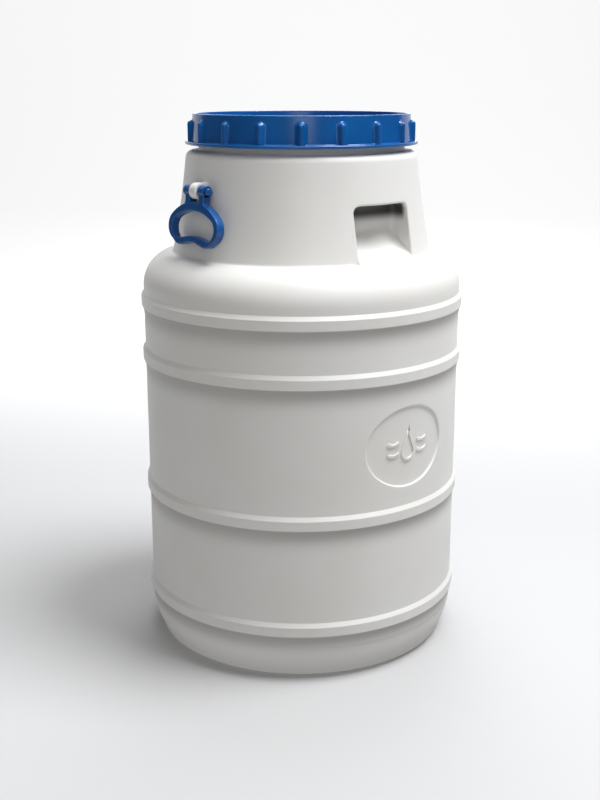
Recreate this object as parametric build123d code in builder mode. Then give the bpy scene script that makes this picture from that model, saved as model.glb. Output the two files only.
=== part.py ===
from build123d import *
import math
import os

os.makedirs("parts", exist_ok=True)

# Wide-neck plastic drum of about 80 litres, standing on the XY plane with its axis on +Z.
# The hand grips face -Y and +Y, the swing handles hang at -X and +X. Millimetres and degrees.

# Drum body
BODY_R = 212.0
WALL = 3.0
HOOP_STEP = 3.5
HOOP_FLANK_LOW = 9.6
HOOP_FACE = 12.6
HOOP_FLANK_TOP = 7.0
HOOP_EDGE = 4.0
HOOP_ROOT = 1.6
HOOP_BASES = (54.7, 198.2, 378.3, 450.6)
FOOT_R = 183.5
FOOT_CURVE = 90.0
BASE_RISE = 14.0
DISH_MID = (0.42 * FOOT_R, BASE_RISE - 1.6)
DISH_EDGE = (0.8 * FOOT_R, 5.5)
FOOT_IN_R = 0.86 * FOOT_R
FOOT_TURN = 30.0
SHOULDER_ROUND = 45.0
SHOULDER_START = 486.0
NECK_FOOT_R = 171.5
NECK_FOOT_Z = 530.8
NECK_TOP_R = 152.0
NECK_TOP_Z = 651.5
NECK_FLARE = 1.6
COLLAR_Z = 660.5
COLLAR_R = 141.0
COLLAR_MID = (149.1, 657.9)

# The blown body is one piece on the real drum. It is written as five plain rings, cut level,
# so that each is simple enough to be solid only where the drum is.
BODY_RINGS = (
    ("drum_base", 0.0, 17.6),
    ("drum_wall", 17.6, 484.0),
    ("drum_shoulder", 484.0, 531.5),
    ("drum_neck", 531.5, 662.0),
    ("drum_mouth", 662.0, 691.5),
)

# Threaded mouth
MOUTH_R = 131.0
FINISH_R = 135.0
FINISH_Z = 691.5
THREAD_LEAD = 20.0
THREAD_STARTS = 2
THREAD_HEIGHT = 3.4
THREAD_FOOT = 4.4
THREAD_CREST = 2.0
THREAD_BITE = 0.8
NECK_THREAD_Z = 666.0
NECK_THREAD_RISE = 19.0
LID_THREAD_DROP = 3.1
LID_THREAD_TURN = 144.0
LID_THREAD_RISE = 17.0

# Roundel on the front wall
ROUNDEL_Z = 303.0
ROUNDEL_HALF_W = 65.6
ROUNDEL_HALF_H = 51.9
ROUNDEL_DEPTH = 2.4
ROUNDEL_START = 180.0
ROUNDEL_REACH = 64.0
SIGN_HEIGHT = 1.5
SIGN_STROKE = 4.2
DROP_R = 12.5
DROP_LOW = -7.0

# Hand grips
GRIP_HALF_W = 45.0
GRIP_TOP = 600.0
GRIP_BACK = 127.0
GRIP_SILL = 532.4
GRIP_RUN_OUT = 161.0
GRIP_BEND_Z = 569.0
GRIP_BEND_OUT = 9.0
GRIP_BEND_DROP = 17.5
GRIP_ROUND = 8.0
GRIP_LIP = 1.5

# Screw lid
LID_FOOT = 668.0
LID_TOP = 707.0
FLANGE_R = 152.4
FLANGE_T = 4.4
BAND_FOOT_R = 144.4
BAND_TOP_R = 142.0
LID_BORE_R = 139.6
RIM_T = 2.8
SEAL_SEAT_Z = 694.0
LID_PLATE_T = 3.0
DISH_R = 129.8
DISH_Z = 682.0
GRIP_RIB_COUNT = 18
GRIP_RIB_R = 4.5
GRIP_RIB_AXIS_R = 144.6
GRIP_RIB_TOP = 698.4
GRIP_RIB_TURN = 10.0
WEB_COUNT = 12
WEB_HEIGHT = 5.0
WEB_BITE = 0.5
WEB_T = 2.6
HUB_R = 30.0

# Seal between the mouth and the lid
SEAL_IN_R = 130.6
SEAL_OUT_R = 138.4

# Swing handles, their lugs and pins
PIN_AXIS_R = 166.2
PIN_AXIS_Z = 615.5
PIN_R = 3.5
PIN_PLAY = 0.05
PIN_TIP_R = 5.0
PIN_HEAD_T = 5.2
LUG_R = 10.2
LUG_HALF_W = 6.5
LUG_ROOT_R = 146.5
LUG_FOOT_T = 4.0
LUG_FOOT_GROW = 3.5
BARREL_R = 7.5
BARREL_GAP = 0.4
BARREL_END = 19.5
LEG_IN = 9.5
HANDLE_T = 12.0
HANDLE_LEAN = 6.5
HANDLE_EDGE = 1.2
LEG_LENGTH = 18.0
LUG_EDGE = 0.8
PIN_DOME = 1.8


# ---------------------------------------------------------------- drum body
def drum_outline():
    """Half outline of the blown wall, from the base centre up to the collar and the mouth."""
    foot_turn = math.radians(FOOT_TURN)
    curve_x = BODY_R - FOOT_CURVE
    foot_end = (curve_x + FOOT_CURVE * math.cos(foot_turn), HOOP_BASES[0] - FOOT_CURVE * math.sin(foot_turn))
    half_turn = foot_turn / 2
    curve_mid = (curve_x + FOOT_CURVE * math.cos(half_turn), HOOP_BASES[0] - FOOT_CURVE * math.sin(half_turn))
    ThreePointArc((0, BASE_RISE), DISH_MID, DISH_EDGE)
    Line(DISH_EDGE, (FOOT_IN_R, 0))
    Line((FOOT_IN_R, 0), (FOOT_R, 0))
    TangentArc((FOOT_R, 0), foot_end, tangent=(1, 0))
    ThreePointArc(foot_end, curve_mid, (BODY_R, HOOP_BASES[0]))
    for number, base in enumerate(HOOP_BASES):
        face_low = base + HOOP_FLANK_LOW
        face_top = face_low + HOOP_FACE
        hoop_top = face_top + HOOP_FLANK_TOP
        wall_top = (HOOP_BASES + (SHOULDER_START,))[number + 1]
        Line((BODY_R, base), (BODY_R + HOOP_STEP, face_low))
        Line((BODY_R + HOOP_STEP, face_low), (BODY_R + HOOP_STEP, face_top))
        Line((BODY_R + HOOP_STEP, face_top), (BODY_R, hoop_top))
        Line((BODY_R, hoop_top), (BODY_R, wall_top))
    shoulder_x = BODY_R - SHOULDER_ROUND
    half_round = SHOULDER_ROUND * math.sqrt(0.5)
    ThreePointArc(
        (BODY_R, SHOULDER_START),
        (shoulder_x + half_round, SHOULDER_START + half_round),
        (NECK_FOOT_R, NECK_FOOT_Z),
    )
    neck_mid = ((NECK_FOOT_R + NECK_TOP_R) / 2 - NECK_FLARE, (NECK_FOOT_Z + NECK_TOP_Z) / 2)
    ThreePointArc((NECK_FOOT_R, NECK_FOOT_Z), neck_mid, (NECK_TOP_R, NECK_TOP_Z))
    ThreePointArc((NECK_TOP_R, NECK_TOP_Z), COLLAR_MID, (COLLAR_R, COLLAR_Z))
    Line((COLLAR_R, COLLAR_Z), (FINISH_R, COLLAR_Z))


def soften_hoops(sketch):
    """Round the long edges of every hoop, the faces more than the feet."""
    corners = sketch.vertices()
    face_corners = corners.filter_by(lambda v: abs(abs(v.X) - BODY_R - HOOP_STEP) < 0.01)
    foot_corners = corners.filter_by(
        lambda v: abs(abs(v.X) - BODY_R) < 0.01 and HOOP_BASES[0] + 1 < v.Y < SHOULDER_START - 1
    )
    fillet(face_corners, radius=HOOP_EDGE)
    fillet(foot_corners, radius=HOOP_ROOT)


with BuildSketch() as outer_profile:
    with BuildLine():
        drum_outline()
        Line((FINISH_R, COLLAR_Z), (FINISH_R, FINISH_Z))
        Line((FINISH_R, FINISH_Z), (0, FINISH_Z))
        Line((0, FINISH_Z), (0, BASE_RISE))
    make_face()
    soften_hoops(outer_profile.sketch)

with BuildSketch() as cavity_profile:
    add(outer_profile.sketch)
    mirror(about=Plane.YZ)
    offset(amount=-WALL)
    with Locations((0, FINISH_Z)):
        Rectangle(2 * MOUTH_R, 2 * (FINISH_Z - COLLAR_Z + WALL))
    with Locations((BODY_R / 2 + 10, FINISH_Z / 2)):
        Rectangle(BODY_R + 20, 2 * FINISH_Z, mode=Mode.INTERSECT)


def grip_block(growth):
    """Solid of one hand grip facing -Y: flat roof, upright back and a floor that runs out on the shoulder."""
    back = -GRIP_BACK + growth
    roof = GRIP_TOP + growth
    sill = GRIP_SILL - growth
    bend = GRIP_BEND_Z - growth / 2
    reach = -BODY_R
    with BuildPart() as block:
        with BuildSketch(Plane.YZ):
            with BuildLine():
                Line((reach, roof), (back, roof))
                Line((back, roof), (back, bend))
                slope = TangentArc((back, bend), (back - GRIP_BEND_OUT, bend - GRIP_BEND_DROP), tangent=(0, -1))
                Line(slope @ 1, (-GRIP_RUN_OUT, sill))
                Line((-GRIP_RUN_OUT, sill), (reach, sill))
                Line((reach, sill), (reach, roof))
            make_face()
        extrude(amount=GRIP_HALF_W + growth, both=True)
        sides = block.faces().filter_by(Axis.X)
        long_edges = sides.edges().filter_by(lambda e: e.center().Y > reach + 2)
        fillet(long_edges, radius=GRIP_ROUND + growth)
    return block.part


grip_cut = grip_block(0)
grip_skin = grip_block(WALL)


def grip_lips(edges):
    """The curved edges where both hand grips break through the neck, without those on the shoulder."""
    near = edges.filter_by(lambda e: abs((e @ 0.5).X) < GRIP_HALF_W + 2 and abs((e @ 0.5).Y) > 100)
    high = near.filter_by(lambda e: (e @ 0.5).Z > GRIP_SILL + 1.5 and (e @ 0.5).Z < GRIP_TOP + 1)
    return high.filter_by(
        lambda e: e.geom_type == GeomType.BSPLINE or (e.geom_type == GeomType.CIRCLE and e.radius > 100)
    )


def roundel_cut(growth):
    """Oval recess in the front wall, its floor on a cylinder inside the wall."""
    with BuildPart() as cut:
        with BuildSketch(Plane.XZ.offset(ROUNDEL_START)):
            with Locations((0, ROUNDEL_Z)):
                Ellipse(ROUNDEL_HALF_W + growth, ROUNDEL_HALF_H + growth)
        extrude(amount=ROUNDEL_REACH)
        Cylinder(
            BODY_R - ROUNDEL_DEPTH - growth,
            FINISH_Z,
            align=(Align.CENTER, Align.CENTER, Align.MIN),
            mode=Mode.SUBTRACT,
        )
    return cut.part


def roundel_sign():
    """Raised sign in the roundel: a plain drop between two pairs of ripples."""
    with BuildPart() as sign:
        with BuildSketch(Plane.XZ.offset(ROUNDEL_START)):
            for size, mode in ((DROP_R, Mode.ADD), (DROP_R - SIGN_STROKE, Mode.SUBTRACT)):
                tip = ROUNDEL_Z + DROP_LOW + 2.4 * size
                with BuildLine():
                    bowl = CenterArc((0, ROUNDEL_Z + DROP_LOW), size, 155, 230)
                    Line(bowl @ 1, (0, tip))
                    Line((0, tip), bowl @ 0)
                make_face(mode=mode)
            for height in (7, -7):
                for middle in (-25, 25):
                    with BuildLine(mode=Mode.PRIVATE):
                        ripple = ThreePointArc(
                            (middle - 8, ROUNDEL_Z + height),
                            (middle, ROUNDEL_Z + height - 3),
                            (middle + 8, ROUNDEL_Z + height),
                        )
                    SlotArc(ripple, SIGN_STROKE)
        extrude(amount=ROUNDEL_REACH)
        with BuildSketch() as band:
            Circle(BODY_R - ROUNDEL_DEPTH + SIGN_HEIGHT)
            Circle(BODY_R - ROUNDEL_DEPTH - 0.4, mode=Mode.SUBTRACT)
        extrude(amount=FINISH_Z, mode=Mode.INTERSECT)
    return sign.part


def thread_ridge(root_r, base_z, rise, outward):
    """One start of the screw thread on the given root radius, standing outward or inward."""
    side = 1 if outward else -1
    with BuildPart() as ridge:
        with BuildLine():
            coil = Helix(pitch=THREAD_LEAD, height=rise, radius=root_r, center=(0, 0, base_z))
        with BuildSketch(Plane(origin=coil @ 0, x_dir=(1, 0, 0), z_dir=(0, -1, 0))):
            with BuildLine():
                Polyline(
                    (-side * THREAD_BITE, -THREAD_FOOT / 2),
                    (side * THREAD_HEIGHT, -THREAD_CREST / 2),
                    (side * THREAD_HEIGHT, THREAD_CREST / 2),
                    (-side * THREAD_BITE, THREAD_FOOT / 2),
                    close=True,
                )
            make_face()
        sweep(is_frenet=True)
    return ridge.part


def lug_shape(growth):
    """Lug at -X: a round-ended tongue with a wider foot buried in the neck wall."""
    with BuildPart() as lug:
        with BuildSketch(Plane.XZ):
            with Locations((-PIN_AXIS_R, PIN_AXIS_Z)):
                Circle(LUG_R + growth)
            with Locations(((-PIN_AXIS_R - LUG_ROOT_R) / 2, PIN_AXIS_Z)):
                Rectangle(PIN_AXIS_R - LUG_ROOT_R, 2 * (LUG_R + growth))
        extrude(amount=LUG_HALF_W + growth, both=True)
        with Locations((-LUG_ROOT_R - LUG_FOOT_T / 2, 0, PIN_AXIS_Z)):
            Box(
                LUG_FOOT_T + 2 * growth,
                2 * (LUG_HALF_W + LUG_FOOT_GROW + growth),
                2 * (LUG_R + LUG_FOOT_GROW + growth),
            )
    return lug.part


lug_socket = lug_shape(0)
lug_cover = lug_shape(WALL)

with BuildPart() as cavity:
    with BuildSketch(Plane.XZ):
        add(cavity_profile.sketch)
    revolve(axis=Axis.Z)
    add(grip_skin, mode=Mode.SUBTRACT)
    add(grip_skin.mirror(Plane.XZ), mode=Mode.SUBTRACT)
    add(roundel_cut(WALL), mode=Mode.SUBTRACT)
    with PolarLocations(0, 2):
        add(lug_cover, mode=Mode.SUBTRACT)

neck_ridge = thread_ridge(FINISH_R, NECK_THREAD_Z, NECK_THREAD_RISE, outward=True)

with BuildPart() as drum_body:
    with BuildSketch(Plane.XZ):
        add(outer_profile.sketch)
    revolve(axis=Axis.Z)
    add(grip_cut, mode=Mode.SUBTRACT)
    add(grip_cut.mirror(Plane.XZ), mode=Mode.SUBTRACT)
    fillet(grip_lips(drum_body.edges()), radius=GRIP_LIP)
    add(roundel_cut(0), mode=Mode.SUBTRACT)
    add(roundel_sign())
    add(cavity.part, mode=Mode.SUBTRACT)
    with PolarLocations(0, 2):
        add(lug_socket, mode=Mode.SUBTRACT)
    with PolarLocations(0, THREAD_STARTS):
        add(neck_ridge)

for name, ring_low, ring_top in BODY_RINGS:
    with BuildPart() as ring:
        add(drum_body.part)
        with Locations((0, 0, (ring_low + ring_top) / 2)):
            Cylinder(BODY_R + 2 * HOOP_STEP, ring_top - ring_low, mode=Mode.INTERSECT)
    ring.part.label = name
    export_step(ring.part, f"parts/{name}.step")


# ---------------------------------------------------------------- screw lid
lid_ridge = thread_ridge(
    LID_BORE_R,
    NECK_THREAD_Z - LID_THREAD_DROP + THREAD_LEAD * LID_THREAD_TURN / 360,
    LID_THREAD_RISE,
    outward=False,
)

with BuildPart() as screw_lid:
    with BuildSketch(Plane.XZ) as lid_profile:
        with BuildLine():
            rim_in = BAND_TOP_R - RIM_T
            shelf_z = SEAL_SEAT_Z + LID_PLATE_T
            dish_top = DISH_Z + LID_PLATE_T
            Polyline(
                (0, DISH_Z),
                (DISH_R, DISH_Z),
                (DISH_R, SEAL_SEAT_Z),
                (LID_BORE_R, SEAL_SEAT_Z),
                (LID_BORE_R, LID_FOOT),
                (FLANGE_R, LID_FOOT),
                (FLANGE_R, LID_FOOT + FLANGE_T),
                (BAND_FOOT_R, LID_FOOT + FLANGE_T),
                (BAND_TOP_R, LID_TOP),
                (rim_in, LID_TOP),
                (rim_in - 0.6, shelf_z),
                (DISH_R - LID_PLATE_T + 0.4, shelf_z),
                (DISH_R - LID_PLATE_T, dish_top),
                (0, dish_top),
                close=True,
            )
        make_face()
        corners = lid_profile.vertices()
        fillet(corners.filter_by(lambda v: v.X > FLANGE_R - 0.1), radius=1.9)
        fillet(corners.filter_by(lambda v: v.Y > LID_TOP - 0.1), radius=1.2)
        fillet(corners.filter_by(lambda v: abs(v.X - BAND_FOOT_R) < 0.01), radius=1.5)
        fillet(corners.filter_by(lambda v: abs(v.X - DISH_R) < 3.5 and v.Y > SEAL_SEAT_Z + 1), radius=1.5)
        fillet(corners.filter_by(lambda v: abs(v.X - DISH_R) < 3.5 and v.Y < DISH_Z + 4), radius=1.5)
    revolve(axis=Axis.Z)

    rib_foot = LID_FOOT + FLANGE_T / 2
    rib_shoulder = GRIP_RIB_TOP - GRIP_RIB_R
    with BuildSketch(Plane.XY.offset(rib_foot)):
        with PolarLocations(GRIP_RIB_AXIS_R, GRIP_RIB_COUNT, start_angle=GRIP_RIB_TURN):
            Circle(GRIP_RIB_R)
    extrude(amount=rib_shoulder - rib_foot)
    with Locations((0, 0, rib_shoulder)):
        with PolarLocations(GRIP_RIB_AXIS_R, GRIP_RIB_COUNT, start_angle=GRIP_RIB_TURN):
            Sphere(GRIP_RIB_R)

    with BuildSketch(Plane.XY.offset(dish_top - WEB_BITE)):
        with PolarLocations((HUB_R + DISH_R) / 2 - 2, WEB_COUNT):
            Rectangle(DISH_R - HUB_R - 3.2, WEB_T)
        Circle(HUB_R)
        Circle(HUB_R - WEB_T, mode=Mode.SUBTRACT)
    extrude(amount=WEB_HEIGHT)

    with PolarLocations(0, THREAD_STARTS, start_angle=LID_THREAD_TURN):
        add(lid_ridge)

screw_lid.part.label = "screw_lid"
export_step(screw_lid.part, "parts/screw_lid.step")


# ---------------------------------------------------------------- lid seal
with BuildPart() as lid_seal:
    with BuildSketch(Plane.XZ) as seal_section:
        with BuildLine():
            Polyline(
                (SEAL_IN_R, FINISH_Z),
                (SEAL_OUT_R, FINISH_Z),
                (SEAL_OUT_R, SEAL_SEAT_Z),
                (SEAL_IN_R, SEAL_SEAT_Z),
                close=True,
            )
        make_face()
        fillet(seal_section.vertices(), radius=0.5)
    revolve(axis=Axis.Z)

lid_seal.part.label = "lid_seal"
export_step(lid_seal.part, "parts/lid_seal.step")


# ---------------------------------------------------------------- handle lugs
pin_axis_left = Plane(origin=(-PIN_AXIS_R, 0, PIN_AXIS_Z), x_dir=(1, 0, 0), z_dir=(0, -1, 0))

with BuildPart() as handle_lug_left:
    add(lug_socket)
    lug_rim = handle_lug_left.edges().filter_by(GeomType.CIRCLE)
    fillet(lug_rim.filter_by(lambda e: abs(e.center().X + PIN_AXIS_R) < 12), radius=LUG_EDGE)
    with BuildSketch(pin_axis_left):
        Circle(PIN_R + PIN_PLAY)
    extrude(amount=LUG_HALF_W + 1, both=True, mode=Mode.SUBTRACT)

# ---------------------------------------------------------------- swing handles
# The handle plane leans on the neck: local X runs along the pin, local Y up the handle.
lean = math.radians(HANDLE_LEAN)
handle_plane = Plane(
    origin=(-PIN_AXIS_R, 0, PIN_AXIS_Z),
    x_dir=(0, -1, 0),
    z_dir=(-math.cos(lean), 0, math.sin(lean)),
)

with BuildPart() as handle_left:
    with BuildSketch(handle_plane):
        with BuildLine():
            crown = ThreePointArc((0, -13.2), (24, -17.4), (46, -30))
            cheek = TangentArc((46, -30), (43, -61.2), tangent=crown % 1)
            grip = Spline((43, -61.2), (28, -68.2), (0, -63.5), tangents=(cheek % 1, (-1, 0)))
            mirror([crown, cheek, grip], about=Plane.YZ)
        make_face()
        with BuildLine():
            crown = ThreePointArc((0, -25), (20, -27.3), (37, -34))
            cheek = TangentArc((37, -34), (40.6, -56), tangent=crown % 1)
            grip = Spline((40.6, -56), (32, -59.8), (0, -55), tangents=(cheek % 1, (-1, 0)))
            mirror([crown, cheek, grip], about=Plane.YZ)
        make_face(mode=Mode.SUBTRACT)
    extrude(amount=HANDLE_T / 2, both=True)
    broad_faces = handle_left.faces().filter_by(handle_plane)
    fillet(broad_faces.edges(), radius=HANDLE_EDGE)
    with BuildSketch(handle_plane):
        for side in (-1, 1):
            with Locations((side * (LEG_IN + BARREL_END) / 2, -LEG_LENGTH / 2)):
                Rectangle(BARREL_END - LEG_IN, LEG_LENGTH)
    extrude(amount=HANDLE_T / 2, both=True)
    barrel_in = LUG_HALF_W + BARREL_GAP
    for side in (-1, 1):
        with BuildSketch(pin_axis_left.offset(side * (BARREL_END + barrel_in) / 2)):
            Circle(BARREL_R)
        extrude(amount=(BARREL_END - barrel_in) / 2, both=True)
    with BuildSketch(pin_axis_left):
        Circle(PIN_R)
    extrude(amount=BARREL_END + 1, both=True, mode=Mode.SUBTRACT)

# ---------------------------------------------------------------- handle pins
with BuildPart() as handle_pin_left:
    with BuildSketch(pin_axis_left):
        Circle(PIN_R)
    extrude(amount=BARREL_END, both=True)
    with BuildSketch(pin_axis_left.offset(BARREL_END)):
        Circle(PIN_TIP_R)
    extrude(amount=PIN_HEAD_T)
    with BuildSketch(pin_axis_left.offset(-BARREL_END)):
        Circle(BARREL_R)
    extrude(amount=-PIN_HEAD_T)
    far_ends = handle_pin_left.edges().filter_by(lambda e: abs(e.center().Y) > BARREL_END + PIN_HEAD_T - 0.1)
    fillet(far_ends, radius=PIN_DOME)

# The right-hand lug, handle and pin are the left-hand ones turned half a turn about the drum's axis.
for piece, name in ((handle_lug_left, "handle_lug"), (handle_left, "handle"), (handle_pin_left, "handle_pin")):
    for hand, turn in (("left", 0), ("right", 180)):
        with BuildPart() as placed:
            with Locations(Location((0, 0, 0), (0, 0, turn))):
                add(piece.part)
        placed.part.label = f"{name}_{hand}"
        export_step(placed.part, f"parts/{name}_{hand}.step")
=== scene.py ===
import math

import bmesh
import bpy
from mathutils import Matrix, Vector


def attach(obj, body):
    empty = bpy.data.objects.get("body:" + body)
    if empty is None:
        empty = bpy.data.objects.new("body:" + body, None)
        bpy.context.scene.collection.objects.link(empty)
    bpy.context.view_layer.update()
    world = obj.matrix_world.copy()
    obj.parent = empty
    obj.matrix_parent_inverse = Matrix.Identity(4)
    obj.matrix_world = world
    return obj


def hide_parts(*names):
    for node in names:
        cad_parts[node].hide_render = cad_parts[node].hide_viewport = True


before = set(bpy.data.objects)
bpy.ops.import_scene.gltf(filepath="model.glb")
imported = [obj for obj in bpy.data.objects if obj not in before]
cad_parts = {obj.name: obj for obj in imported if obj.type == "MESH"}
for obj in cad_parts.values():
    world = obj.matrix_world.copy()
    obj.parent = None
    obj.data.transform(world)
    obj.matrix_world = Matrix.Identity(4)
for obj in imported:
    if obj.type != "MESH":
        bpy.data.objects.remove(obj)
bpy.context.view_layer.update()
scene = bpy.context.scene

# ------------------------------------------------------------------ camera
# A long lens a step back from the drum, a little above the lid, turned so that the front grip
# and the roundel are on the right and one swing handle is on the left.
VIEW_TURN = math.radians(-39.83)
VIEW_PITCH = math.radians(74.813)
VIEW_DISTANCE = 1.56227
VIEW_HEIGHT = 0.743054

lens = bpy.data.cameras.new("studio_camera")
lens.lens = 52.355
lens.sensor_width = 36
lens.shift_x = -0.001875
lens.clip_start = 0.05
camera = bpy.data.objects.new("studio_camera", lens)
camera.location = (
    math.sin(VIEW_TURN) * VIEW_DISTANCE,
    -math.cos(VIEW_TURN) * VIEW_DISTANCE,
    VIEW_HEIGHT,
)
camera.rotation_euler = (VIEW_PITCH, 0, VIEW_TURN)
scene.collection.objects.link(camera)
scene.camera = camera


# ------------------------------------------------------------------ drum body
# The body is blown in one piece from natural white polyethylene: a dished base on a foot ring,
# four hoops, a round shoulder and a leaning neck with a threaded mouth. Sizes are in millimetres.
BODY_R = 212.0
WALL = 3.0
HOOPS = (54.7, 198.2, 378.3, 450.6)
SHOULDER_Z = 486.0
SHOULDER_ROUND = 45.0
NECK_FOOT = (171.5, 530.8)
NECK_WAIST = (160.15, 591.15)
NECK_TOP = (152.0, 651.5)
FINISH_R = 135.0
MOUTH_Z = 691.5
COLUMNS = 240
COLUMN_TURN = 360 / COLUMNS


def arc(centre, radius, start, end, steps):
    """Points of a round stretch from one angle to another, in degrees."""
    turns = [math.radians(start + (end - start) * step / steps) for step in range(steps + 1)]
    return [(centre[0] + radius * math.cos(turn), centre[1] + radius * math.sin(turn)) for turn in turns]


def circle_through(first, middle, last):
    """Centre and radius of the circle through three points."""
    (ax, ay), (bx, by), (cx, cy) = first, middle, last
    double = 2 * (ax * (by - cy) + bx * (cy - ay) + cx * (ay - by))
    squares = [x * x + y * y for x, y in (first, middle, last)]
    x = (squares[0] * (by - cy) + squares[1] * (cy - ay) + squares[2] * (ay - by)) / double
    y = (squares[0] * (cx - bx) + squares[1] * (ax - cx) + squares[2] * (bx - ax)) / double
    return (x, y), math.hypot(ax - x, ay - y)


def arc_through(first, middle, last, steps):
    """Points from first to last on the circle that also passes through middle."""
    centre, radius = circle_through(first, middle, last)
    here, there = (Vector(point) - Vector(centre) for point in (first, last))
    spokes = [here.slerp(there, step / steps) * radius for step in range(steps + 1)]
    return [tuple(Vector(centre) + spoke) for spoke in spokes]


def rounded(corners, steps=3):
    """An outline of (x, y, corner radius) as plain points, with its corners rounded."""
    line = []
    for number, (x, y, radius) in enumerate(corners):
        here = Vector((x, y))
        if radius == 0:
            line.append((x, y))
            continue
        back = (Vector(corners[number - 1][:2]) - here).normalized()
        onward = (Vector(corners[(number + 1) % len(corners)][:2]) - here).normalized()
        half = back.angle(onward) / 2
        middle = here + (back + onward).normalized() * radius / math.sin(half)
        reach = radius / math.tan(half)
        start, end = here + back * reach - middle, here + onward * reach - middle
        line += [tuple(middle + start.slerp(end, step / steps) * radius) for step in range(steps + 1)]
    return line


def evenly(low, high, steps):
    return [low + (high - low) * step / steps for step in range(steps + 1)]


def wire_of(shape, points, closed=False):
    """A chain of edges through (x, z) points, in the plane that faces -Y."""
    corners = [shape.verts.new((x, 0, z)) for x, z in points]
    pairs = list(zip(corners, corners[1:]))
    if closed:
        pairs.append((corners[-1], corners[0]))
    return corners, [shape.edges.new(pair) for pair in pairs]


def spun(points, columns, closed=False):
    """A ring or shell turned about the upright axis."""
    shape = bmesh.new()
    corners, edges = wire_of(shape, points, closed)
    bmesh.ops.spin(
        shape,
        geom=corners + edges,
        cent=(0, 0, 0),
        axis=(0, 0, 1),
        angle=2 * math.pi,
        steps=columns,
        use_merge=True,
    )
    bmesh.ops.remove_doubles(shape, verts=shape.verts, dist=0.001)
    bmesh.ops.recalc_face_normals(shape, faces=shape.faces)
    return shape


def joined(shape, *others):
    """Puts the other shapes into the first one as they stand."""
    for other in others:
        copy = bpy.data.meshes.new("part")
        other.to_mesh(copy)
        other.free()
        shape.from_mesh(copy)
        bpy.data.meshes.remove(copy)
    return shape


def piece_from(name, shape, finish):
    """Ends a shape: millimetres become metres, and it becomes an object with its finish."""
    bmesh.ops.scale(shape, vec=(0.001, 0.001, 0.001), verts=shape.verts)
    for face in shape.faces:
        face.smooth = True
    mesh = bpy.data.meshes.new(name)
    shape.to_mesh(mesh)
    shape.free()
    mesh.materials.append(finish)
    piece = bpy.data.objects.new(name, mesh)
    scene.collection.objects.link(piece)
    return piece


def even_shading(piece):
    """Keeps wide faces flat beside their rounded edges."""
    shading = piece.modifiers.new("even_shading", "WEIGHTED_NORMAL")
    shading.keep_sharp = True
    shading.weight = 50


def hoop_line(base):
    """One hoop: a long hollow lower flank, an upright face and a short top flank."""
    proud = BODY_R + 3.5
    sweep = [(BODY_R + 3.4 * share**3, base - 8 + 17.6 * share, 0) for share in evenly(0, 0.92, 6)]
    face = [(proud, base + 10.4, 1.4), (proud, base + 22.4, 1.8)]
    top_flank = [(BODY_R, base + 27.6, 1.6), (BODY_R, base + 34, 0)]
    return rounded(sweep + face + top_flank)


foot = [(0, 14), (40, 13.6), (77, 12.4), (115, 9.4)]
foot += rounded([(115, 9.4, 0), (147, 5.6, 4), (156, 0.2, 3), (170, 0, 0)])[1:]
foot += arc((183.5, 26.0), 26.0, -90, -52, 6)
foot += arc((122.0, 54.7), 90.0, -28, -4, 8)
walls = []
for low, high, rows in ((88.7, 189.0, 8), (232.4, 240.0, 1), (364.0, 369.2, 1), (412.3, 441.5, 3)):
    walls.append([(BODY_R, height) for height in evenly(low, high, rows)])
ROUNDEL_ROWS = evenly(242.0, 364.0, 30)
roundel_wall = [(BODY_R, height) for height in ROUNDEL_ROWS]
shoulder = arc((BODY_R - SHOULDER_ROUND, SHOULDER_Z), SHOULDER_ROUND, 0, 71.9, 14)
shoulder += arc((BODY_R - SHOULDER_ROUND, SHOULDER_Z), SHOULDER_ROUND, 75.0, 81.5, 2)
neck_centre, neck_round = circle_through(NECK_FOOT, NECK_WAIST, NECK_TOP)


def neck_radius(height):
    """Outer radius of the neck, which is hollowed a little between its foot and its top."""
    side = math.copysign(1, NECK_WAIST[0] - neck_centre[0])
    return neck_centre[0] + side * math.sqrt(neck_round**2 - (height - neck_centre[1]) ** 2)


GRIP_HEAD_Z = 606.0
neck = [(neck_radius(z), z) for z in evenly(NECK_FOOT[1], GRIP_HEAD_Z, 28)]
neck += [(neck_radius(z), z) for z in evenly(GRIP_HEAD_Z, NECK_TOP[1], 6)[1:]]
neck += arc_through(NECK_TOP, (149.1, 657.9), (141.0, 660.5), 5)[1:]
mouth_corners = [(141, 660.5, 0), (FINISH_R, 660.5, 1.0), (FINISH_R, MOUTH_Z, 1.2), (133.4, MOUTH_Z, 0)]
finish_line = rounded(mouth_corners)[1:]
outline = foot + hoop_line(HOOPS[0]) + walls[0] + hoop_line(HOOPS[1]) + walls[1][:1] + roundel_wall
outline += walls[2][1:] + hoop_line(HOOPS[2]) + hoop_line(HOOPS[3]) + shoulder + neck + finish_line
apart = [math.dist(point, before) > 0.05 for before, point in zip(outline, outline[1:])]
outline = outline[:1] + [point for point, is_apart in zip(outline[1:], apart) if is_apart]
drum = spun(outline, COLUMNS)

# The hand grips are sunk into the neck, front and back: a flat roof, an upright back and a floor
# that curves out over the shoulder. The blown edges round off softly.
GRIP_HALF_W = 45.0
GRIP_LOW = -4.5
GRIP_HIGH = 69.2
GRIP_CORNER = 9.0
GRIP_BACK = 127.0
LIP = 2.5
CREASE = 8.0
BEND_HIGH = 38.2
BEND_LOW = 20.7
BEND_ROUND = 21.5
GRIP_COLUMNS = 13
GRIP_ROWS = 15.5


def skin_point(x, climb):
    """The neck's skin at a distance up from the neck's foot; below it, out along the shoulder."""
    if climb >= 0:
        height = NECK_FOOT[1] + climb
        radius = neck_radius(height)
    else:
        radius = NECK_FOOT[0] - climb
        height = SHOULDER_Z + math.sqrt(SHOULDER_ROUND**2 - (radius - BODY_R + SHOULDER_ROUND) ** 2)
    return Vector((x, -math.sqrt(radius**2 - x * x), height))


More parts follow.
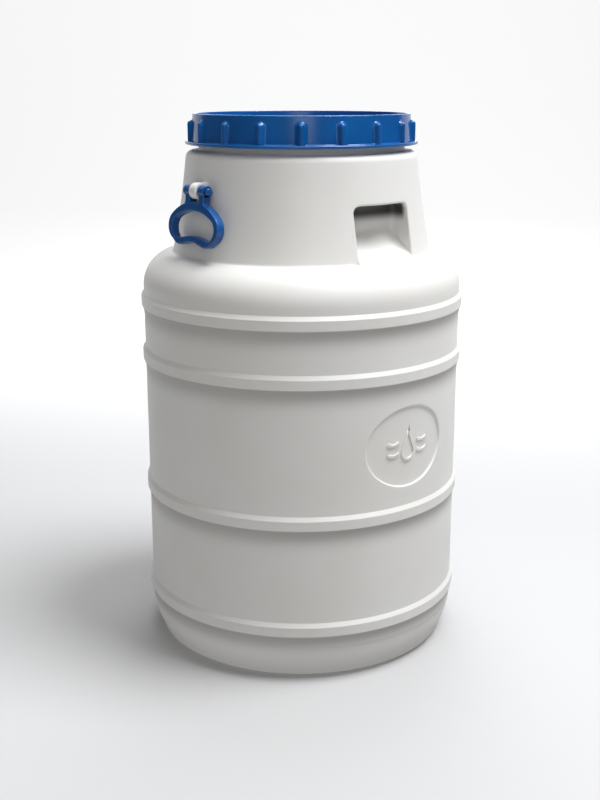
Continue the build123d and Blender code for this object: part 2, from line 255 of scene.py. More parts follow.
def grip_sheet(x, climb):
    """The back and floor of a grip: upright, then bent forward, then running out on the shoulder."""
    height = NECK_FOOT[1] + climb
    if climb >= BEND_HIGH:
        return Vector((x, -GRIP_BACK, height))
    bend_z = NECK_FOOT[1] + BEND_HIGH
    if climb >= BEND_LOW:
        turn = math.radians(54.4) * (BEND_HIGH - climb) / (BEND_HIGH - BEND_LOW)
        out = GRIP_BACK + BEND_ROUND * (1 - math.cos(turn))
        return Vector((x, -out, bend_z - BEND_ROUND * math.sin(turn)))
    share = min((BEND_LOW - climb) / (BEND_LOW - GRIP_LOW), 1)
    start = Vector((x, -136.0, bend_z - 17.5))
    knee = Vector((x, -158.5, bend_z - 34.2))
    end = skin_point(x, GRIP_LOW)
    return start * (1 - share) ** 2 + knee * 2 * share * (1 - share) + end * share**2


def sunk_rings(lip, crease):
    """How each ring of a sunk shape stands: its offset from the edge, then its depth as
    (share of lip, share of full depth, share of crease)."""
    rings = []
    for turn in (0, 30, 60, 90):
        lean = math.radians(turn)
        rings.append((lip * (1 - math.sin(lean)), lip * (1 - math.cos(lean)), 0, 0))
    for turn in (0, 22.5, 45, 67.5, 90):
        lean = math.radians(turn)
        rings.append((-crease * (1 - math.cos(lean)), 0, 1, crease * (1 - math.sin(lean))))
    return rings


def eased(share):
    """Spaces the points of a side closer together towards its corners."""
    return math.copysign(0.5 * abs(share) + 0.5 * math.sin(abs(share) * math.pi / 2), share)


grip_rings = sunk_rings(LIP, CREASE)
middle_climb = (GRIP_LOW + GRIP_HIGH) / 2
half_climb = (GRIP_HIGH - GRIP_LOW) / 2


def grip_point(column, row):
    """Where a point of the skin's grid goes when the grip is pressed in."""
    ring = round(min(GRIP_COLUMNS - abs(column), GRIP_ROWS - abs(row)))
    level = min(ring, len(grip_rings))
    offset, lip_depth, full, crease_rise = grip_rings[level - 1]
    across = eased(column / (GRIP_COLUMNS - level))
    along = eased(row / (GRIP_ROWS - level))
    half_w = GRIP_HALF_W + offset
    half_h = half_climb + offset
    corner = max(GRIP_CORNER + offset, 1.0)
    x, climb = across * half_w, along * half_h
    past_x, past_h = abs(x) - half_w + corner, abs(climb) - half_h + corner
    if ring <= len(grip_rings) and past_x > 0 and past_h > 0:
        reach = corner / math.hypot(past_x, past_h)
        x = math.copysign(half_w - corner + past_x * reach, x)
        climb = math.copysign(half_h - corner + past_h * reach, climb)
    climb += middle_climb
    skin = skin_point(x, climb)
    sheet = grip_sheet(x, climb)
    depth = (sheet - skin).length
    if depth < 0.01:
        return skin
    fit = min(1, depth / (LIP + CREASE))
    return skin.lerp(sheet, (lip_depth * fit + full * depth - crease_rise * fit) / depth)


drum.verts.ensure_lookup_table()
neck_rows = sorted({round(vert.co.z, 3) for vert in drum.verts if vert.co.z < GRIP_HEAD_Z + 0.01
                    and vert.co.z > shoulder[14][1] - 0.01 and vert.co.xy.length > 150})
ROUNDEL_COLUMNS = 14
ROUNDEL_DEPTH = 2.4
ROUNDEL_HALF_W = 65.6
ROUNDEL_HALF_H = 51.9
ROUNDEL_Z = 303.0
ROUNDEL_MIDDLE = len(ROUNDEL_ROWS) // 2
SQUARE_RINGS = 4
SQUARE_HALF_W = BODY_R * math.radians(ROUNDEL_COLUMNS * COLUMN_TURN)
SQUARE_HALF_H = (ROUNDEL_ROWS[-1] - ROUNDEL_ROWS[0]) / 2
roundel_rings = [(1.2, 0), (0.35, 0.35), (0, 1.2), (-0.35, 2.05), (-1.2, ROUNDEL_DEPTH)]


def roundel_point(column, row):
    """Where a point of the wall's grid goes when the oval is pressed in."""
    ring = min(ROUNDEL_COLUMNS - abs(column), ROUNDEL_MIDDLE - abs(row))
    last = SQUARE_RINGS + len(roundel_rings)
    level = min(ring, last)
    reach = max(abs(column) / (ROUNDEL_COLUMNS - level), abs(row) / (ROUNDEL_MIDDLE - level))
    direction = Vector((column / (ROUNDEL_COLUMNS - level), row / (ROUNDEL_MIDDLE - level)))
    if direction.length > 0:
        direction = direction.normalized() * reach
    offset, depth = roundel_rings[max(level - SQUARE_RINGS, 1) - 1]
    oval = Vector((direction.x * (ROUNDEL_HALF_W + offset), direction.y * (ROUNDEL_HALF_H + offset)))
    if level <= SQUARE_RINGS:
        square_x = SQUARE_HALF_W * column / (ROUNDEL_COLUMNS - level)
        square = Vector((square_x, SQUARE_HALF_H * row / (ROUNDEL_MIDDLE - level)))
        oval = square.lerp(oval, level / (SQUARE_RINGS + 1))
        depth = 0
    turn = oval.x / BODY_R
    radius = BODY_R - depth
    return Vector((radius * math.sin(turn), -radius * math.cos(turn), ROUNDEL_Z + oval.y))


roundel_heights = {round(height, 3): number for number, height in enumerate(ROUNDEL_ROWS)}
for vert in drum.verts:
    turn = math.degrees(math.atan2(vert.co.x, -vert.co.y))
    height = round(vert.co.z, 3)
    on_front = abs(turn) <= 90
    column = round((turn if on_front else math.remainder(turn - 180, 360)) / COLUMN_TURN)
    if height in neck_rows and abs(column) < GRIP_COLUMNS:
        row = neck_rows.index(height) - GRIP_ROWS
        if abs(row) < GRIP_ROWS:
            side = 1 if on_front else -1
            moved = grip_point(column * (1 if on_front else -1), row)
            vert.co = (moved.x, moved.y * side, moved.z)
    elif on_front and height in roundel_heights and abs(column) < ROUNDEL_COLUMNS:
        row = roundel_heights[height] - ROUNDEL_MIDDLE
        if abs(row) < ROUNDEL_MIDDLE and vert.co.xy.length > 200:
            vert.co = roundel_point(column, row)


# The finish of the drum: satin, with the fine grain and slow waves of the mould wall, a faint
# weld line where the two mould halves met, and light rubbing on the hoops and the foot. The dark
# under each hoop, at the foot and under the roof of the grips is painted on: it stands in for
# shade that the soft lights don't reach, and stays wherever the drum is lit from.
class Wire:
    """One socket of a shader, so that a finish can be written as sums of its parts."""

    def __init__(self, tree, socket=None):
        self.tree = tree
        self.socket = socket

    def add(self, kind, settings=None, sockets=None, out=0):
        """Adds a node, makes its settings, fills its sockets and gives one of its outputs."""
        node = self.tree.nodes.new("ShaderNode" + kind)
        for name, value in (settings or {}).items():
            if name == "stops":
                ramp = node.color_ramp.elements
                while len(ramp) < len(value):
                    ramp.new(1.0)
                for element, (place, shade) in zip(ramp, value):
                    element.position = place
                    element.color = (shade, shade, shade, 1)
            else:
                setattr(node, name, value)
        for name, value in (sockets or {}).items():
            if isinstance(value, Wire):
                self.tree.links.new(value.socket, node.inputs[name])
            else:
                node.inputs[name].default_value = value
        return Wire(self.tree, node.outputs[out]) if node.outputs else None

    def sum(self, operation, first, second=0.0):
        return self.add("Math", {"operation": operation}, {0: first, 1: second})

    def __add__(self, other):
        return self.sum("ADD", self, other)

    def __sub__(self, other):
        return self.sum("SUBTRACT", self, other)

    def __mul__(self, other):
        return self.sum("MULTIPLY", self, other)

    def __radd__(self, other):
        return self.sum("ADD", other, self)

    def __rsub__(self, other):
        return self.sum("SUBTRACT", other, self)

    def __rmul__(self, other):
        return self.sum("MULTIPLY", other, self)

    def __abs__(self):
        return self.sum("ABSOLUTE", self)

    def band(self, low, high):
        """0 at low, 1 at high, smooth between."""
        ends = {"Value": self, "From Min": low, "From Max": high}
        return self.add("MapRange", {"interpolation_type": "SMOOTHSTEP"}, ends)

    def noise(self, scale, detail=2.0):
        """Soft random shade over this place, 0 to 1 about a middle of one half."""
        return self.add("TexNoise", None, {"Vector": self, "Scale": scale, "Detail": detail})

    def mixed(self, first, second):
        """The first colour where this is 0 and the second where it is 1."""
        return self.add("Mix", {"data_type": "RGBA"}, {0: self, 6: (*first, 1), 7: (*second, 1)}, out=2)


def new_finish(name):
    """An empty material, and the wire that its nodes are strung on."""
    material = bpy.data.materials.new(name)
    material.use_nodes = True
    material.node_tree.nodes.clear()
    return material, Wire(material.node_tree)


def relief(wire, *layers):
    """Bump on bump: each layer is a height and the depth in metres that it stands for."""
    normal = None
    for height, depth in layers:
        sockets = {"Height": height, "Distance": depth}
        if normal is not None:
            sockets["Normal"] = normal
        normal = wire.add("Bump", None, sockets)
    return normal


def close_finish(wire, sockets):
    surface = wire.add("BsdfPrincipled", None, sockets)
    wire.add("OutputMaterial", None, {"Surface": surface})


DRUM_WHITE = (0.80, 0.792, 0.77)
DRUM_SHADE = (0.775, 0.765, 0.738)
DRUM_SCUFF = (0.70, 0.69, 0.67)
HOOP_SHADE = (0.27, 0.262, 0.248)
ROOF_SHADE = (0.03, 0.03, 0.028)

drum_finish, wire = new_finish("drum_white")
place = wire.add("TexCoord", out=3)
across = wire.add("SeparateXYZ", None, {0: place}, out=0)
depth = wire.add("SeparateXYZ", None, {0: place}, out=1)
height = wire.add("SeparateXYZ", None, {0: place}, out=2)
reach = wire.sum("SQRT", across * across + depth * depth)
rubbed = reach.band(0.2148, 0.2156) * place.noise(60, 4).band(0.5, 0.62)
foot_rub = (1 - height.band(0.001, 0.006)) * place.noise(90, 3).band(0.45, 0.6)
wear = rubbed * 0.15 + foot_rub * 0.6
under_roof = height.band(0.574, 0.588) * (1 - height.band(0.602, 0.603)) * (1 - reach.band(0.150, 0.1575))
drift = place.noise(7, 3).band(0.35, 0.65)
body_white = drift.mixed(DRUM_WHITE, DRUM_SHADE)
colour = wire.add("Mix", {"data_type": "RGBA"}, {0: wear, 6: body_white, 7: (*DRUM_SCUFF, 1)}, out=2)
weld = (1 - abs(depth).band(0.0002, 0.0009)) * (1 - height.band(0.655, 0.66))
polish = 0.43 + (place.noise(30, 4) - 0.5) * 0.14 + wear * 0.15
# Painted shade: the drum is darker under each hoop and towards the foot.
painted_shade_mask = (1 - height.band(0.0, 0.045)) * 0.35
for base in HOOPS:
    climb = height.band((base - 30) / 1000, (base + 9) / 1000)
    painted_shade_mask = painted_shade_mask + climb * climb * (1 - height.band((base + 9) / 1000, (base + 10.4) / 1000)) * 0.7
colour_with_painted_shade = wire.add("Mix", {"data_type": "RGBA"}, {0: painted_shade_mask, 6: colour, 7: (*HOOP_SHADE, 1)}, out=2)
# Painted shade: near black under the roof of the grips.
roof_mask = under_roof * 0.97
shaded = wire.add("Mix", {"data_type": "RGBA"}, {0: roof_mask, 6: colour_with_painted_shade, 7: (*ROOF_SHADE, 1)}, out=2)
surface_relief = relief(
    wire,
    (place.noise(16, 2), 0.0006),
    (place.noise(1100, 2), 0.000012),
    (weld, 0.00012),
)
close_finish(wire, {"Base Color": shaded, "Roughness": polish, "Normal": surface_relief, "IOR": 1.5})


# The sign in the roundel is moulded with the wall: a plain drop between two pairs of ripples.
def stroke_shape(points, width, closed=False):
    """A flat band of even width along a line, raised and rounded on top."""
    shape = bmesh.new()
    count = len(points)
    sides = []
    for number, (x, y) in enumerate(points):
        before = points[number - 1] if closed or number > 0 else points[number]
        after = points[(number + 1) % count] if closed or number < count - 1 else points[number]
        run = (Vector(after) - Vector(before)).normalized()
        aside = Vector((-run.y, run.x)) * width / 2
        left = shape.verts.new((x + aside.x, 0, y + aside.y))
        sides.append((left, shape.verts.new((x - aside.x, 0, y - aside.y))))
    pairs = list(zip(sides, sides[1:] + sides[:1])) if closed else list(zip(sides, sides[1:]))
    faces = [shape.faces.new((a[0], a[1], b[1], b[0])) for a, b in pairs]
    grown = bmesh.ops.extrude_face_region(shape, geom=faces)["geom"]
    lifted = [part for part in grown if isinstance(part, bmesh.types.BMVert)]
    bmesh.ops.translate(shape, vec=(0, -2.1, 0), verts=lifted)
    bmesh.ops.recalc_face_normals(shape, faces=shape.faces)
    rim = [edge for edge in shape.edges if all(vert.co.y < -2 for vert in edge.verts)
           and edge.calc_face_angle(0) > math.radians(60)]
    bmesh.ops.bevel(shape, geom=rim, offset=0.9, segments=3, profile=0.5, affect="EDGES", material=-1)
    return shape


bowl = arc((0, -7), 10.4, 155, 385, 20)
tip = 20.5
(start_x, start_y), (end_x, end_y) = bowl[0], bowl[-1]
drop_line = bowl + [(end_x * share, end_y + (tip - end_y) * (1 - share)) for share in (0.75, 0.5, 0.25, 0)]
drop_line += [(start_x * share, start_y + (tip - start_y) * (1 - share)) for share in (0.25, 0.5, 0.75)]
sign = stroke_shape(drop_line, 4.2, closed=True)
for height_off in (7, -7):
    for middle in (-25, 25):
        ripple = arc_through((middle - 9, height_off), (middle, height_off - 3), (middle + 9, height_off), 8)
        joined(sign, stroke_shape(ripple, 4.2))
floor_radius = BODY_R - ROUNDEL_DEPTH - 0.6
for vert in sign.verts:
    turn = vert.co.x / BODY_R
    radius = floor_radius - vert.co.y
    vert.co = (radius * math.sin(turn), -radius * math.cos(turn), ROUNDEL_Z + vert.co.z)


# Two thread ridges wind up the outside of the mouth, and fade out at both ends.
def thread(root, crest, base, climb, lead, starts, first_turn=0.0):
    """Thread ridges from a root radius to a crest radius, inward where the crest is less."""
    ridges = bmesh.new()
    turn = climb / lead * 360
    steps = int(turn / 3)
    for start in range(starts):
        ridge = bmesh.new()
        bite = -0.8 if crest > root else 0.8
        section = [(root + bite, base - 2.2), (crest, base - 1.0)]
        section += [(crest, base + 1.0), (root + bite, base + 2.2)]
        corners, edges = wire_of(ridge, section, closed=True)
        bmesh.ops.spin(
            ridge,
            geom=corners + edges,
            cent=(0, 0, 0),
            axis=(0, 0, 1),
            dvec=(0, 0, climb / steps),
            angle=math.radians(turn),
            steps=steps,
            use_merge=False,
        )
        for vert in ridge.verts:
            gone = (vert.co.z - base) / climb
            fade = min(1, max(0.02, gone / 0.06), max(0.02, (1 - gone) / 0.06))
            radius = vert.co.xy.length
            if abs(radius - crest) < 0.1:
                vert.co.xy *= (root + bite + (crest - root - bite) * fade) / radius
        bmesh.ops.holes_fill(ridge, edges=[edge for edge in ridge.edges if edge.is_boundary])
        bmesh.ops.recalc_face_normals(ridge, faces=ridge.faces)
        spin = math.radians(first_turn + start * 360 / starts)
        bmesh.ops.rotate(ridge, cent=(0, 0, 0), matrix=Matrix.Rotation(spin, 3, "Z"), verts=ridge.verts)
        joined(ridges, ridge)
    return ridges


bmesh.ops.recalc_face_normals(drum, faces=drum.faces)
drum_piece = piece_from("drum_shell", drum, drum_finish)
wall_depth = drum_piece.modifiers.new("wall", "SOLIDIFY")
wall_depth.thickness = WALL / 1000
wall_depth.offset = -1
even_shading(drum_piece)
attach(drum_piece, "drum")
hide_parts(*[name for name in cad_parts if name.startswith("drum_")])

mouth_thread = thread(FINISH_R, 138.4, 666, 19, 20, 2)
relief_piece = piece_from("moulded_relief", joined(sign, mouth_thread), drum_finish)
even_shading(relief_piece)
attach(relief_piece, "drum")



# ------------------------------------------------------------------ screw lid
# The lid is injection moulded in glossy blue polypropylene: a flanged band with eighteen grip
# ribs, a rim, and a dished plate stiffened by a hub and twelve webs. It screws on the mouth.
LID_COLUMNS = 360
RIBS = 18
RIB_TURN = 10.0
RIB_R = 4.5
RIB_AXIS_R = 144.6
RIB_SHOULDER = 693.9
LID_DEEP = (0.0012, 0.078, 0.285)
LID_BLUE = (0.0025, 0.105, 0.36)

lid_line = rounded(
    [(0, 682, 0), (30, 682, 0), (90, 682, 0), (129.8, 682, 1.5), (129.8, 694, 0.6), (139.6, 694, 0.6)]
    + [(139.6, 668, 0.8), (152.4, 668, 1.9), (152.4, 672.4, 1.9), (144.35, 672.4, 1.5)]
    + [(144.35 - 2.35 * share, 674.5 + 30.5 * share, 0) for share in evenly(0, 1, 26)]
    + [(141.95, 707, 1.3), (139.2, 707, 1.1), (138.6, 697, 1.2), (127.2, 697, 1.5), (126.8, 685, 2.5)]
    + [(90, 685, 0), (34, 685, 0), (0, 685, 0)],
    4,
)
lid = spun(lid_line, LID_COLUMNS)
for vert in lid.verts:
    radius = vert.co.xy.length
    if radius < 20:
        continue
    turn = math.degrees(math.atan2(vert.co.y, vert.co.x)) - RIB_TURN
    sector = round(turn / (360 / RIBS))
    aside = (turn - sector * 360 / RIBS) / (180 / RIBS)
    aside *= 0.3 + 0.7 * aside**2
    if radius > 141.5 and 672.5 < vert.co.z < 705:
        across = RIB_AXIS_R * math.radians(aside * 180 / RIBS)
        away = math.hypot(across, max(0, vert.co.z - RIB_SHOULDER))
        proud = RIB_AXIS_R + math.sqrt(max(RIB_R**2 - away**2, 7.0))
        share = min(max((away - 3.6) / 3.0, 0), 1)
        radius += max(proud - radius, 0) * (1 - share) ** 2.4
    turn = math.radians(RIB_TURN + (sector + aside / 2) * 360 / RIBS)
    vert.co.xy = (radius * math.cos(turn), radius * math.sin(turn))
hub = rounded([(27.4, 684, 0), (27.4, 689.5, 0.8), (30, 689.5, 0.8), (30, 684, 0)])
joined(lid, spun(hub, 96, closed=True))
gate = [(0, 684.6), (0, 686.2), (2.6, 686.1), (3.4, 685.6), (3.8, 684.6)]
joined(lid, spun(gate, 32))
for number in range(12):
    web = bmesh.new()
    bmesh.ops.create_cube(web, size=1)
    bmesh.ops.scale(web, vec=(97.4, 2.6, 5.5), verts=web.verts)
    tops = [edge for edge in web.edges if all(vert.co.z > 0 for vert in edge.verts)]
    bmesh.ops.bevel(web, geom=tops, offset=0.7, segments=3, profile=0.5, affect="EDGES", material=-1)
    bmesh.ops.translate(web, vec=(77.9, 0, 686.75), verts=web.verts)
    spin = Matrix.Rotation(math.radians(30 * number), 3, "Z")
    bmesh.ops.rotate(web, cent=(0, 0, 0), matrix=spin, verts=web.verts)
    joined(lid, web)
joined(lid, thread(139.6, 136.2, 670.9, 17, 20, 2, 144))

lid_finish, wire = new_finish("lid_blue")
place = wire.add("TexCoord", out=3)
height = wire.add("SeparateXYZ", None, {0: place}, out=2)
drift = place.noise(11, 3).band(0.35, 0.65)
rub = height.band(0.7045, 0.7068) * place.noise(130, 4).band(0.5, 0.62)
colour = wire.add(
    "Mix",
    {"data_type": "RGBA"},
    {0: rub * 0.25, 6: drift.mixed(LID_BLUE, LID_DEEP), 7: (0.05, 0.2, 0.45, 1)},
    out=2,
)
polish = 0.2 + (place.noise(40, 3) - 0.5) * 0.1 + rub * 0.15
surface_relief = relief(wire, (place.noise(22, 2), 0.0003), (place.noise(900, 2), 0.000004))
close_finish(wire, {"Base Color": colour, "Roughness": polish, "Normal": surface_relief, "IOR": 1.5})

lid_piece = piece_from("lid_shell", lid, lid_finish)
even_shading(lid_piece)
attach(lid_piece, "lid")
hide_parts("screw_lid")


# ------------------------------------------------------------------ lid seal
# A flat ring of black rubber, pressed between the lid's shelf and the mouth, with two raised
# lips on its lower face.
seal = spun(
    rounded(
        [(130.6, 691.6, 0.4), (130.6, 694.0, 0.4), (138.4, 694.0, 0.4), (138.4, 691.6, 0.4)]
        + [(136.6, 691.6, 0.1), (136.1, 691.95, 0.1), (133.0, 691.95, 0.1), (132.5, 691.6, 0.1)],
        2,
    ),
    160,
    closed=True,
)
seal_finish, wire = new_finish("seal_rubber")
place = wire.add("TexCoord", out=3)
dust = place.noise(45, 4).band(0.45, 0.7)
colour = dust.mixed((0.012, 0.012, 0.013), (0.03, 0.03, 0.031))
grain = relief(wire, (place.noise(1400, 2), 0.00001))
close_finish(wire, {"Base Color": colour, "Roughness": 0.6 + dust * 0.15, "Normal": grain, "IOR": 1.5})
seal_piece = piece_from("seal_ring", seal, seal_finish)
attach(seal_piece, "seal")
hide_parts("lid_seal")


# ------------------------------------------------------------------ handle lugs
# Each lug is a thick white tongue with a round eye, moulded with a wider foot and set in the
# wall of the neck, where it carries the pin of a swing handle.
PIN_AXIS = Vector((-166.2, 0, 615.5))
HAND_TURNS = (("left", 0), ("right", math.pi))


def plate(loops, thickness, edge, segments=3):
    """A flat plate in the XY plane between closed outlines, its rims rounded."""
    shape = bmesh.new()
    for loop in loops:
        corners = [shape.verts.new((x, y, -thickness / 2)) for x, y in loop]
        for number, corner in enumerate(corners):
            shape.edges.new((corner, corners[(number + 1) % len(corners)]))
    bmesh.ops.triangle_fill(shape, use_beauty=True, use_dissolve=False, edges=shape.edges)
    grown = bmesh.ops.extrude_face_region(shape, geom=shape.faces[:], use_keep_orig=True)["geom"]
    lifted = [part for part in grown if isinstance(part, bmesh.types.BMVert)]
    bmesh.ops.translate(shape, vec=(0, 0, thickness), verts=lifted)
    bmesh.ops.recalc_face_normals(shape, faces=shape.faces)
    rims = [
        line
        for line in shape.edges
        if abs(line.verts[0].co.z - line.verts[1].co.z) < 0.01 and line.calc_face_angle(0) > 1.2
    ]
    bmesh.ops.bevel(
        shape, geom=rims, offset=edge, segments=segments, profile=0.5, affect="EDGES", material=-1
    )
    return shape


def box_of(low, high, edge):
    """A block between two corners with all its edges rounded."""
    shape = bmesh.new()
    bmesh.ops.create_cube(shape, size=1)
    low, high = Vector(low), Vector(high)
    bmesh.ops.scale(shape, vec=high - low, verts=shape.verts)
    bmesh.ops.translate(shape, vec=(low + high) / 2, verts=shape.verts)
    bmesh.ops.bevel(
        shape, geom=shape.edges, offset=edge, segments=3, profile=0.5, affect="EDGES", material=-1
    )
    return shape


def turned(shape, turn):
    """Turns a left-hand shape about the drum's axis."""
    bmesh.ops.rotate(shape, cent=(0, 0, 0), matrix=Matrix.Rotation(turn, 3, "Z"), verts=shape.verts)
    return shape


lug_finish, wire = new_finish("lug_white")
place = wire.add("TexCoord", out=3)
drift = place.noise(60, 3).band(0.35, 0.65)
colour = drift.mixed((0.86, 0.855, 0.84), (0.82, 0.81, 0.79))
grain = relief(wire, (place.noise(90, 2), 0.0001), (place.noise(1100, 2), 0.000008))
close_finish(wire, {"Base Color": colour, "Roughness": 0.33 + drift * 0.08, "Normal": grain, "IOR": 1.5})

for hand, turn in HAND_TURNS:
    eye = arc((0, 0), 10.2, 90, 270, 24)
    tongue = plate([eye + [(19.7, -10.2), (19.7, 10.2)], arc((0, 0), 3.55, 0, 345, 23)], 13.0, 0.8)
    bmesh.ops.rotate(tongue, cent=(0, 0, 0), matrix=Matrix.Rotation(math.pi / 2, 3, "X"), verts=tongue.verts)
    bmesh.ops.translate(tongue, vec=PIN_AXIS, verts=tongue.verts)
    foot_block = box_of((-150.4, -9.9, 601.9), (-146.6, 9.9, 629.1), 0.9)
    lug_piece = piece_from("lug_" + hand, turned(joined(tongue, foot_block), turn), lug_finish)
    even_shading(lug_piece)
    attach(lug_piece, "drum")
    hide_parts("handle_lug_" + hand)


# ------------------------------------------------------------------ swing handles
# A flat loop of blue polypropylene, moulded in one with two legs and the two barrels that turn
# on the pin at either side of the lug.
def arc_onward(start, heading, end, steps):
    """Points of the arc that leaves start along heading and meets end, bending clockwise."""
    start, heading, chord = Vector(start), Vector(heading).normalized(), Vector(end) - Vector(start)
    aside = Vector((heading.y, -heading.x))
    radius = chord.length_squared / (2 * aside.dot(chord))
    half_bend = heading.angle(chord)
    points = []
    for step in range(steps + 1):
        bend = 2 * half_bend * step / steps
        forward = heading * radius * math.sin(bend)
        points.append(tuple(start + forward + aside * radius * (1 - math.cos(bend))))
    return points


def flow(points, first_way, last_way, steps):
    """A smooth line through points that leaves and arrives along the given directions."""
    spots = [Vector(point) for point in points]
    count = len(spots)
    ways = []
    for number in range(count):
        span = (spots[min(number + 1, count - 1)] - spots[max(number - 1, 0)]) / 2
        ways.append(span)
    ways[0] = Vector(first_way).normalized() * (spots[1] - spots[0]).length
    ways[-1] = Vector(last_way).normalized() * (spots[-1] - spots[-2]).length
    line = [tuple(spots[0])]
    for number in range(count - 1):
        for step in range(1, steps + 1):
            t = step / steps
            line.append(
                tuple(
                    spots[number] * (2 * t**3 - 3 * t**2 + 1)
                    + ways[number] * (t**3 - 2 * t**2 + t)
                    + spots[number + 1] * (3 * t**2 - 2 * t**3)
                    + ways[number + 1] * (t**3 - t**2)
                )
            )
    return line


def loop_side(crown, cheek_end, low, foot_line):
    """The right-hand half of the loop's outline, from the crown round to the grip's middle."""
    top = arc_through(*crown, 10)
    heading = Vector(top[-1]) - Vector(top[-2])
    cheek = arc_onward(crown[-1], heading, cheek_end, 12)
    cheek_way = Vector(cheek[-1]) - Vector(cheek[-2])
    return top + cheek[1:] + flow([cheek_end, low, foot_line], cheek_way, (-1, 0), 8)[1:]


def both_sides(half):
    """Closes a right-hand half outline with its mirror image."""
    return half + [(-x, y) for x, y in reversed(half[1:-1])]


outer_half = loop_side([(0, -13.2), (24, -17.4), (46, -30)], (43, -61.2), (28, -68.2), (0, -63.5))
leg_corners = [(0, -13.2, 0), (9.5, -13.9, 1.8), (9.5, 0, 0)]
leg_corners += [(19.5, 0, 0), (19.5, -15.9, 3.0), (26, -18.3, 0)]
legs = rounded(leg_corners)
outer_half = legs[:-1] + [point for point in outer_half if point[0] > 24 or point[1] < -40]
inner_half = loop_side([(0, -25), (20, -27.3), (37, -34)], (40.6, -56), (32, -59.8), (0, -55))
lean = math.radians(6.5)
leaning = Matrix(
    ((0, math.sin(lean), -math.cos(lean)), (-1, 0, 0), (0, math.cos(lean), math.sin(lean)))
)

handle_finish, wire = new_finish("handle_blue")
place = wire.add("TexCoord", out=3)
drift = place.noise(25, 3).band(0.35, 0.65)
colour = drift.mixed((0.004, 0.09, 0.32), (0.0025, 0.07, 0.26))
polish = 0.24 + (place.noise(70, 3) - 0.5) * 0.12
grain = relief(wire, (place.noise(60, 2), 0.00012), (place.noise(1000, 2), 0.000006))
close_finish(wire, {"Base Color": colour, "Roughness": polish, "Normal": grain, "IOR": 1.5})

for hand, turn in HAND_TURNS:
    loop = plate([both_sides(outer_half), both_sides(inner_half)], 12.0, 1.9, 4)
    for low, high in ((6.9, 19.5), (-19.5, -6.9)):
        barrel_line = rounded([(3.55, low, 0), (7.5, low, 0.9), (7.5, high, 0.9), (3.55, high, 0)])
        barrel = spun(barrel_line, 48, True)
        sideways = Matrix.Rotation(math.pi / 2, 3, "Y")
        bmesh.ops.rotate(barrel, cent=(0, 0, 0), matrix=sideways, verts=barrel.verts)
        joined(loop, barrel)
    bmesh.ops.transform(loop, matrix=leaning, verts=loop.verts)
    bmesh.ops.translate(loop, vec=PIN_AXIS, verts=loop.verts)
    handle_piece = piece_from("loop_" + hand, turned(loop, turn), handle_finish)
    even_shading(handle_piece)
    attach(handle_piece, hand + "_handle")
    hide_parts("handle_" + hand)


# ------------------------------------------------------------------ handle pins
# A plain blue pin runs through the barrels and the lug: a domed head at one end, a smaller
# pressed tip at the other.
pin_line = rounded(
    [(0, -24.7, 0), (4.6, -24.7, 2.0), (7.5, -23.2, 2.0), (7.5, -19.5, 0.4), (3.5, -19.5, 0.2)]
    + [(3.5, 19.5, 0.2), (5.0, 19.5, 0.3), (5.0, 24.7, 1.9), (0, 24.7, 0)]
)
for hand, turn in HAND_TURNS:
    pin = spun(pin_line, 48)
    bmesh.ops.rotate(pin, cent=(0, 0, 0), matrix=Matrix.Rotation(math.pi / 2, 3, "X"), verts=pin.verts)
    bmesh.ops.translate(pin, vec=PIN_AXIS, verts=pin.verts)
    pin_piece = piece_from("pin_" + hand, turned(pin, turn), handle_finish)
    even_shading(pin_piece)
    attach(pin_piece, hand + "_handle")
    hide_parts("handle_pin_" + hand)


# ------------------------------------------------------------------ studio
# A pale floor that curves up behind the drum, a bright sky that is strongest overhead, and a
# large soft light high on the right.
right = Vector((math.cos(VIEW_TURN), math.sin(VIEW_TURN), 0))
ahead = Vector((-math.sin(VIEW_TURN), math.cos(VIEW_TURN), 0))
up = Vector((0, 0, 1))

sweep = bmesh.new()
floor_start = -ahead * 4.0
first = sweep.verts.new(floor_start - right * 6.0)
second = sweep.verts.new(floor_start + right * 6.0)
edge = sweep.edges.new((first, second))
run = [ahead * 7.0]
turns = 12
radius = 1.6
for step in range(turns):
    lean = math.pi / 2 * (step + 0.5) / turns
    run.append((ahead * math.cos(lean) + up * math.sin(lean)) * radius * math.pi / 2 / turns)
run.append(up * 5.0)
for move in run:
    grown = bmesh.ops.extrude_edge_only(sweep, edges=[edge])["geom"]
    bmesh.ops.translate(sweep, vec=move, verts=[v for v in grown if isinstance(v, bmesh.types.BMVert)])
    edge = next(e for e in grown if isinstance(e, bmesh.types.BMEdge))
bmesh.ops.recalc_face_normals(sweep, faces=sweep.faces)
for face in sweep.faces:
    face.smooth = True
sweep_mesh = bpy.data.meshes.new("floor")
sweep.to_mesh(sweep_mesh)
sweep.free()
floor = bpy.data.objects.new("floor", sweep_mesh)
scene.collection.objects.link(floor)
floor_paint, wire = new_finish("floor_paint")
place = wire.add("TexCoord", out=3)
depth = wire.add("VectorMath", {"operation": "DOT_PRODUCT"}, {0: place, 1: ahead}, out=1)
pale = wire.add("BsdfDiffuse", None, {"Color": (0.56, 0.56, 0.56, 1)})
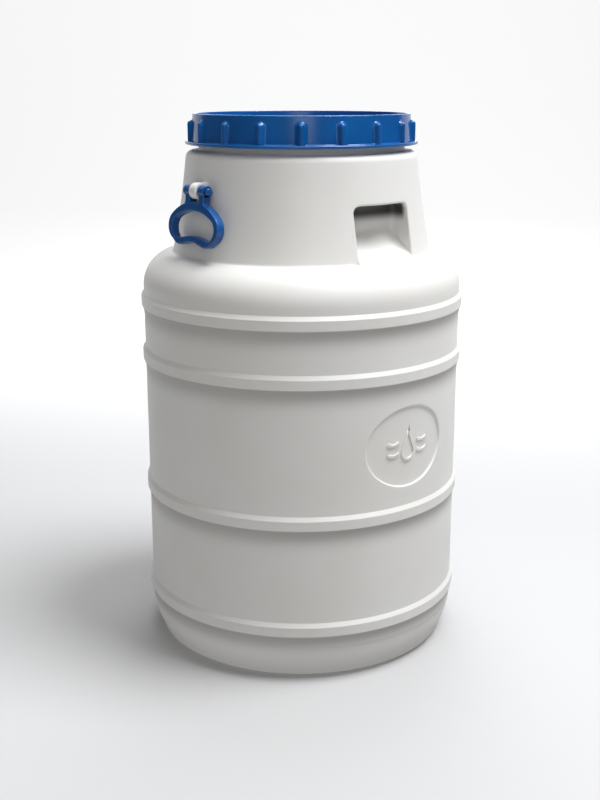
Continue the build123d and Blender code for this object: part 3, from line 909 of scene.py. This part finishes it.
glow = wire.add("Emission", None, {"Color": (1, 1, 1, 1), "Strength": depth.band(0.3, 2.2) * 0.6})
wire.add("OutputMaterial", None, {"Surface": wire.add("AddShader", None, {0: pale, 1: glow})})
floor.data.materials.append(floor_paint)
floor.visible_diffuse = False

sky = bpy.data.worlds.new("studio_sky")
scene.world = sky
sky.use_nodes = True
sky.node_tree.nodes.clear()
wire = Wire(sky.node_tree)
look = wire.add("TexCoord", out=0)
height = wire.add("SeparateXYZ", None, {0: look}, out=2)
shade = wire.add(
    "ValToRGB",
    {"stops": [(0.0, 0.66), (0.40, 0.60), (0.50, 0.02), (0.60, 0.20), (0.8, 0.18), (1.0, 0.15)]},
    {0: height * 0.5 + 0.5},
)
seen = wire.add("LightPath", out=0)
backdrop = shade * (1 - seen) + seen * 0.93
sky_light = wire.add("Background", None, {"Color": backdrop, "Strength": 1.0})
wire.add("OutputWorld", None, {"Surface": sky_light})


def soft_light(name, rise, swing, distance, size, power, colour):
    """A round soft light aimed at the drum. Swing 0 is over the camera, 90 is on the right."""
    lift, turn = math.radians(rise), math.radians(swing)
    level = -ahead * math.cos(turn) + right * math.sin(turn)
    aim = Vector((0, 0, 0.35))
    lamp = bpy.data.lights.new(name, "AREA")
    lamp.shape = "DISK"
    lamp.size = size
    lamp.energy = power
    lamp.color = colour
    holder = bpy.data.objects.new(name, lamp)
    holder.location = aim + (level * math.cos(lift) + up * math.sin(lift)) * distance
    holder.rotation_euler = (aim - holder.location).to_track_quat("-Z", "Y").to_euler()
    scene.collection.objects.link(holder)


soft_light("key_light", 65, 74, 3.4, 1.8, 140, (0.97, 0.98, 1.0))
soft_light("top_light", 89, 0, 3.4, 2.4, 33, (1.0, 1.0, 1.0))
soft_light("back_light", 65, 178, 3.4, 1.7, 32, (0.97, 0.98, 1.0))
soft_light("low_back_light", 22, 178, 3.4, 1.7, 22, (0.95, 0.97, 1.0))
soft_light("front_fill", 22, 2, 3.4, 1.7, 13.5, (1.0, 0.985, 0.96))

scene.view_settings.view_transform = "Standard"
